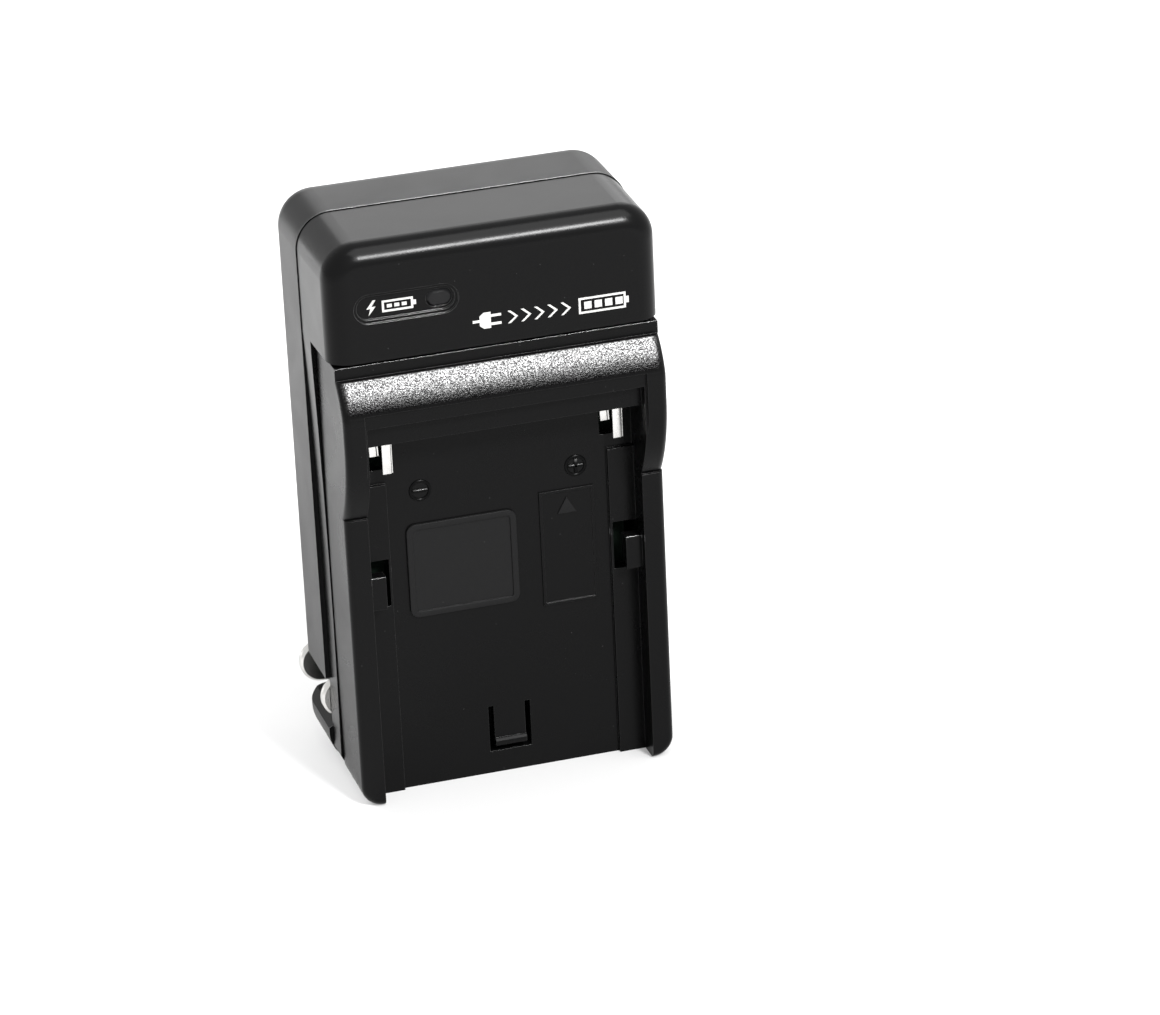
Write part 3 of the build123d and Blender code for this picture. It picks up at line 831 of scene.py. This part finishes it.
def sign_painted_glint(tree, shader, base, rough, height, edge, settings):
    """Painted highlights on the upward-facing upper edges of the polarity signs' bars, with dull
    rings round them.
    """
    mould = bpy.context.scene.charger_mould
    place = axes(tree)
    apart = add(tree, "ShaderNodeCombineXYZ")
    across = far_from(tree, far_from(tree, place["X"], mould.sign_shift), mould.sign_spread)
    tree.links.new(across, apart.inputs["X"])
    tree.links.new(far_from(tree, place["Z"], mould.sign_level), apart.inputs["Z"])
    reach = add(tree, "ShaderNodeVectorMath", operation="LENGTH")
    tree.links.new(apart.outputs[0], reach.inputs[0])
    inner, soft, level, leaning = mould.sign_radius - 0.26 * MM, 0.04 * MM, 0.1, 0.3
    bars = between(tree, reach.outputs["Value"], inner, inner - soft)
    # Painted highlight: only the bars' faces that lean upwards, where light from above falls, take
    # the bright colour and the metallic mask.
    facing = add(tree, "ShaderNodeNewGeometry")
    split = add(tree, "ShaderNodeSeparateXYZ")
    tree.links.new(facing.outputs["Normal"], split.inputs[0])
    upper = product(tree, bars, between(tree, split.outputs["Z"], level, leaning))
    tree.links.new(upper, shader["Metallic"])
    return painted_highlight(tree, upper, base, settings), rough, height


def seam_painted_highlight(tree, shader, base, rough, height, edge, settings):
    """Painted highlight along the rear shell's edge at the seam."""
    reach, soft, strength = 0.3 * MM, 0.05 * MM, 1.8
    seam = settings.seam_place
    # The edges near the seam take the painted highlight colour and a metallic mask.
    painted_seam_highlight = product(tree, band(tree, axes(tree)["Y"], seam - reach, seam + reach, soft), edge)
    tree.links.new(painted_seam_highlight, shader["Metallic"])
    return painted_highlight(tree, painted_seam_highlight, base, settings, strength), rough, height


def recess_painted_highlight(tree, shader, base, rough, height, edge, settings):
    """Painted highlight along the edges round the lamp's recess."""
    reach, soft, strength = 3.4 * MM, 0.2 * MM, 0.7
    level, place = settings.recess_level, axes(tree)
    behind = FRONT_FACE + 1.4 * MM
    outer = between(tree, place["Y"], behind, behind - soft)
    near = product(tree, outer, band(tree, place["Z"], level - reach, level + reach, soft))
    # Painted highlight: the recess's edges take the bright colour and the metallic mask.
    rim = product(tree, ranged(tree, edge, 0.0, strength), near)
    tree.links.new(rim, shader["Metallic"])
    return painted_highlight(tree, rim, base, settings), rough, height


def brow_grain_and_painted_highlights(tree, shader, base, rough, height, edge, settings):
    """Glittering grain on the sloping brow with a painted highlight, brightest at its top and
    fading towards its foot, and painted highlights along the lip's edges over it and the lugs'
    upper edges.
    """
    slope_foot, slope_soft, slope_front, side_inset, side_soft = (
        9.2 * MM, 0.6 * MM, 0.5 * MM, 0.4 * MM, 0.9 * MM)
    fade_foot, fade_end, lip_foot, lug_inner, lug_reach, lug_soft, soft = (
        9.6 * MM, 5.2 * MM, 3.5 * MM, 15.3 * MM, 0.5 * MM, 0.1 * MM, 0.2 * MM)
    dull_grain, dull_rim, grain_relief, roughness = 0.12, 0.15, 9.0, 0.28
    place, top, lug = axes(tree), PLATE_HIGH.z, settings.lug_level
    front = FRONT_FACE - slope_front
    left, right = PLATE_LOW.x + side_inset, PLATE_HIGH.x - side_inset
    above = between(tree, place["Z"], top - slope_foot, top - slope_foot + slope_soft)
    outer = between(tree, place["Y"], front, front - soft)
    across = band(tree, place["X"], left, right, side_soft)
    slope = product(tree, product(tree, above, outer), across)
    coarse = use_group(tree, "moulded_grain", Size=settings.brow_grain)
    # Painted highlight: the brow's glitter is strongest at its top and fades towards its foot, as
    # the light falls off; the grain's speckle breaks it up.
    fade = between(tree, place["Z"], top - fade_foot, top - fade_end)
    painted_highlight_fade = product(tree, slope, product(tree, fade, fade))
    grain_and_painted_glint = product(tree, painted_highlight_fade, ranged(tree, coarse["Speckle"], dull_grain, 1.0))
    # Painted highlights: the lip's edges and the lugs' upper edges, where light catches them, take
    # the bright colour and the metallic mask; other edges get a faint share.
    lip = between(tree, place["Z"], top - lip_foot, top - lip_foot + soft)
    side = between(tree, far_from(tree, place["X"], 0.0), lug_inner, lug_inner + soft)
    beside = band(tree, place["Z"], lug - lug_reach, lug + lug_reach, lug_soft)
    bright = larger(tree, lip, product(tree, side, beside))
    painted_rim_highlights = product(tree, edge, ranged(tree, bright, dull_rim, 1.0))
    tree.links.new(larger(tree, slope, painted_rim_highlights), shader["Metallic"])
    relief = mixed_value(tree, slope, height, product(tree, coarse["Height"], grain_relief))
    base = painted_highlight(tree, larger(tree, grain_and_painted_glint, painted_rim_highlights), base, settings)
    return base, mixed_value(tree, slope, rough, roughness), relief


def bright_metal(name, colour, roughness, scratch):
    """Plated or bare metal with fine scratches and faint tarnish."""
    tarnish, polished, dulled, edge_softness = 0.72, 0.06, 0.12, 0.1 * MM
    tree, shader = finish(name)
    shader["Metallic"].default_value = 1.0
    smear = use_group(tree, "handling", Smear_Size=scratch)["Smear"]
    tarnished = [tarnish * c for c in colour]
    tree.links.new(mixed_colour(tree, smear, colour, tarnished), shader["Base Color"])
    rough = ranged(tree, smear, roughness - polished, roughness + dulled)
    tree.links.new(rough, shader["Roughness"])
    edges = use_group(tree, "soft_edges", Radius=edge_softness)
    moulded = use_group(tree, "moulded_grain", Size=scratch / 20)
    height_bump(tree, shader, moulded["Height"], 0.004 * MM, 0.4, edges["Normal"])


def inner_finish(name, colour, other, roughness, grain):
    """Lacquer, laminate or tape on a piece inside the housing."""
    tree, shader = finish(name)
    shader["Specular IOR Level"].default_value = 0.1
    smear = use_group(tree, "handling", Smear_Size=grain * 12)["Smear"]
    tree.links.new(mixed_colour(tree, smear, colour, other), shader["Base Color"])
    tree.links.new(ranged(tree, smear, roughness - 0.1, roughness + 0.1), shader["Roughness"])
    moulded = use_group(tree, "moulded_grain", Size=grain)
    height_bump(tree, shader, moulded["Height"], 0.01 * MM, 0.6)


def lamp_lens():
    """Smoked clear lens, unlit."""
    clear, smoked = (0.006, 0.006, 0.0065), (0.013, 0.013, 0.0135)
    tree, shader = finish("lamp_lens")
    shader["Specular IOR Level"].default_value = 0.14
    smear = use_group(tree, "handling", Smear_Size=1.5 * MM)["Smear"]
    tree.links.new(mixed_colour(tree, smear, clear, smoked), shader["Base Color"])
    tree.links.new(ranged(tree, smear, 0.12, 0.3), shader["Roughness"])
    edges = use_group(tree, "soft_edges", Radius=0.25 * MM)
    tree.links.new(edges["Normal"], shader["Normal"])


def printed_ink(settings):
    """Slightly worn printing ink."""
    wear = 0.88
    tree, shader = finish("printed_ink")
    speckle = use_group(tree, "moulded_grain", Size=0.3 * MM)["Speckle"]
    worn = [wear * c for c in settings.colour]
    tree.links.new(mixed_colour(tree, speckle, settings.colour, worn), shader["Base Color"])
    tree.links.new(ranged(tree, speckle, 0.5, 0.65), shader["Roughness"])


# Name, colour, roughness, length of the scratches
METALS = (
    ("contact_nickel", (0.84, 0.83, 0.81), 0.25, 2 * MM),
    ("blade_nickel", (0.72, 0.71, 0.69), 0.22, 5 * MM),
    ("spring_metal", (0.72, 0.56, 0.3), 0.3, 3 * MM),
    ("screw_steel", (0.36, 0.36, 0.37), 0.34, 2 * MM),
)
# Name, two colours that run into each other, roughness, grain size
INNER_FINISHES = (
    ("board_laminate", (0.002, 0.005, 0.003), (0.003, 0.007, 0.004), 0.85, 0.4 * MM),
    ("ferrite", (0.03, 0.03, 0.032), (0.05, 0.05, 0.052), 0.6, 0.2 * MM),
    ("winding_tape", (0.6, 0.42, 0.04), (0.68, 0.5, 0.08), 0.35, 0.6 * MM),
    ("can_sleeve", (0.012, 0.014, 0.05), (0.02, 0.022, 0.07), 0.3, 0.5 * MM),
    ("disc_lacquer", (0.03, 0.12, 0.4), (0.04, 0.15, 0.48), 0.3, 0.5 * MM),
    ("diode_epoxy", (0.015, 0.015, 0.015), (0.03, 0.03, 0.03), 0.55, 0.15 * MM),
    ("resistor_lacquer", (0.25, 0.3, 0.26), (0.32, 0.36, 0.32), 0.5, 0.2 * MM),
)


class CHARGER_OT_finishes(bpy.types.Operator):
    """Make the finishes and put them on the pieces of the frame"""

    bl_idname = "charger.finishes"
    bl_label = "Finishes"

    def execute(self, context):
        settings = context.scene.charger_finish
        black, paler = tuple(settings.black), (0.0065, 0.0065, 0.0067)
        # Name, colour, grain size, roughness, grain depth, mirror strength, added detail (which
        # paints highlights)
        plastics = (
            ("rear_plastic", black, settings.shell_grain, 0.33, 0.01 * MM, 0.14, seam_painted_highlight),
            ("front_plastic", black, 0.3 * MM, 0.22, 0.005 * MM, 0.12, recess_painted_highlight),
            ("plate_plastic", black, 0.3 * MM, 0.28, 0.006 * MM, 0.11, brow_grain_and_painted_highlights),
            ("sign_plastic", black, 0.3 * MM, 0.28, 0.006 * MM, 0.06, sign_painted_glint),
            ("plug_plastic", black, 0.25 * MM, 0.45, 0.008 * MM, 0.1, None),
            ("mark_plastic", paler, 0.3 * MM, 0.4, 0.008 * MM, 0.14, None),
        )
        for make in (grain_group, handling_group, edge_group):
            make()
        for row in plastics:
            black_plastic(settings, *row)
        for row in METALS:
            bright_metal(*row)
        for row in INNER_FINISHES:
            inner_finish(*row)
        lamp_lens()
        printed_ink(context.scene.charger_ink)
        slots = {row["node"]: row["material_slot"] for row in frame["record"]["subparts"]}
        for name, node in NODES.items():
            node.data.materials.clear()
            node.data.materials.append(bpy.data.materials[slots[name]])
        return {"FINISHED"}


class CHARGER_OT_stage(bpy.types.Operator):
    """Make the floor, the lamps and the camera"""

    bl_idname = "charger.stage"
    bl_label = "Stage"

    def execute(self, context):
        settings = context.scene.charger_stage
        make_camera(context, settings)
        make_floor(settings)
        make_lamps()
        make_world(context.scene, settings)
        context.scene.view_settings.view_transform = "Standard"
        return {"FINISHED"}


def make_camera(context, settings):
    turn, tilt, lean = settings.azimuth, settings.elevation, settings.roll
    ahead = Vector((
        math.sin(turn) * math.cos(tilt), math.cos(turn) * math.cos(tilt), -math.sin(tilt)))
    level = Vector((math.cos(turn), -math.sin(turn), 0.0))
    above = level.cross(ahead)
    right = math.cos(lean) * level - math.sin(lean) * above
    up = math.sin(lean) * level + math.cos(lean) * above
    data = bpy.data.cameras.new("photo_camera")
    data.lens = settings.lens
    data.sensor_width = 36.0
    data.sensor_fit = "HORIZONTAL"
    data.clip_start, data.clip_end = 0.01, 20.0
    camera = bpy.data.objects.new("photo_camera", data)
    context.scene.collection.objects.link(camera)
    turned = Matrix((right, up, -ahead)).transposed().to_4x4()
    camera.matrix_world = Matrix.Translation(settings.camera_place) @ turned
    context.scene.camera = camera


def seen_directly(tree):
    """1 for rays from the camera, a mirror or glass, else 0."""
    path = add(tree, "ShaderNodeLightPath")
    total = path.outputs["Is Camera Ray"]
    for name in ("Is Glossy Ray", "Is Transmission Ray"):
        total = larger(tree, total, path.outputs[name])
    return total


def make_floor(settings):
    deselect()
    bpy.ops.mesh.primitive_plane_add(size=settings.floor_size)
    floor = bpy.context.object
    floor.name = "floor"
    tree, shader = finish("floor_white")
    shader["Base Color"].default_value = (*settings.floor_colour, 1.0)
    shader["Roughness"].default_value = 0.8
    shader["Specular IOR Level"].default_value = 0.1
    shader["Emission Color"].default_value = (1, 1, 1, 1)
    place = add(tree, "ShaderNodeTexCoord")
    distance = add(tree, "ShaderNodeVectorMath", operation="LENGTH")
    tree.links.new(place.outputs["Object"], distance.inputs[0])
    glow_near, glow_far, rise_start, rise_end = 0.21, 0.8, 0.4, 1.6
    rise = between(tree, distance.outputs["Value"], rise_start, rise_end)
    glow = ranged(tree, rise, glow_near, glow_far)
    tree.links.new(product(tree, seen_directly(tree), glow), shader["Emission Strength"])
    floor.data.materials.append(bpy.data.materials["floor_white"])


# Name, place, target, size, power, and whether shiny faces mirror it
LAMPS = (
    ("front_softbox", (0.28, -0.8, 0.75), (0, 0, 0.04), 0.2, 15.0, True),
    ("upper_softbox", (0.26, -0.37, 1.06), (0, 0, 0.06), 0.8, 8.0, True),
    ("back_softbox", (0.33, 1.14, 0.6), (0, 0, 0.08), 0.8, 2.6, True),
    ("left_softbox", (-0.35, 0.55, 0.4), (-0.05, 0.2, 0), 0.4, 10.0, False),
)


def make_lamps():
    for name, place, target, size, power, mirrored in LAMPS:
        data = bpy.data.lights.new(name, "AREA")
        data.energy = power
        data.size = size
        lamp = bpy.data.objects.new(name, data)
        bpy.context.scene.collection.objects.link(lamp)
        lamp.location = place
        lamp.visible_glossy = mirrored
        lamp.rotation_euler = (Vector(target) - Vector(place)).to_track_quat("-Z", "Y").to_euler()


def make_world(scene, settings):
    world = bpy.data.worlds.new("studio_white")
    scene.world = world
    world.use_nodes = True
    tree = world.node_tree
    background = tree.nodes["Background"]
    background.inputs["Color"].default_value = (1, 1, 1, 1)
    strength = ranged(tree, seen_directly(tree), settings.surround, 1.0)
    tree.links.new(strength, background.inputs["Strength"])


OPERATORS = (
    CHARGER_OT_finishes,
    CHARGER_OT_bay_panel,
    CHARGER_OT_slide_arrow,
    CHARGER_OT_polarity_signs,
    CHARGER_OT_printed_marks,
    CHARGER_OT_housing_screws,
    CHARGER_OT_contacts,
    CHARGER_OT_stage,
)


class CHARGER_PT_panel(bpy.types.Panel):
    """Lists the charger's settings and operators"""

    bl_idname = "CHARGER_PT_panel"
    bl_label = "Battery charger"
    bl_space_type = "VIEW_3D"
    bl_region_type = "UI"
    bl_category = "Charger"

    def draw(self, context):
        for operator in OPERATORS:
            self.layout.operator(operator.bl_idname)
        for name in SETTINGS:
            group = getattr(context.scene, name)
            box = self.layout.box()
            for key in group.__annotations__:
                box.prop(group, key)


SETTINGS = {
    "charger_mould": MouldSettings,
    "charger_ink": InkSettings,
    "charger_contact": ContactSettings,
    "charger_finish": FinishSettings,
    "charger_stage": StageSettings,
}
CLASSES = (*SETTINGS.values(), *OPERATORS, CHARGER_PT_panel)


def register():
    for cls in CLASSES:
        bpy.utils.register_class(cls)
    for name, group in SETTINGS.items():
        setattr(bpy.types.Scene, name, PointerProperty(type=group))


def unregister():
    for name in SETTINGS:
        delattr(bpy.types.Scene, name)
    for cls in reversed(CLASSES):
        bpy.utils.unregister_class(cls)


def main():
    register()
    bpy.ops.charger.finishes()
    bpy.ops.charger.bay_panel()
    bpy.ops.charger.slide_arrow()
    bpy.ops.charger.polarity_signs()
    bpy.ops.charger.printed_marks()
    bpy.ops.charger.housing_screws()
    bpy.ops.charger.contacts()
    bpy.ops.charger.stage()


if __name__ == "__main__":
    main()
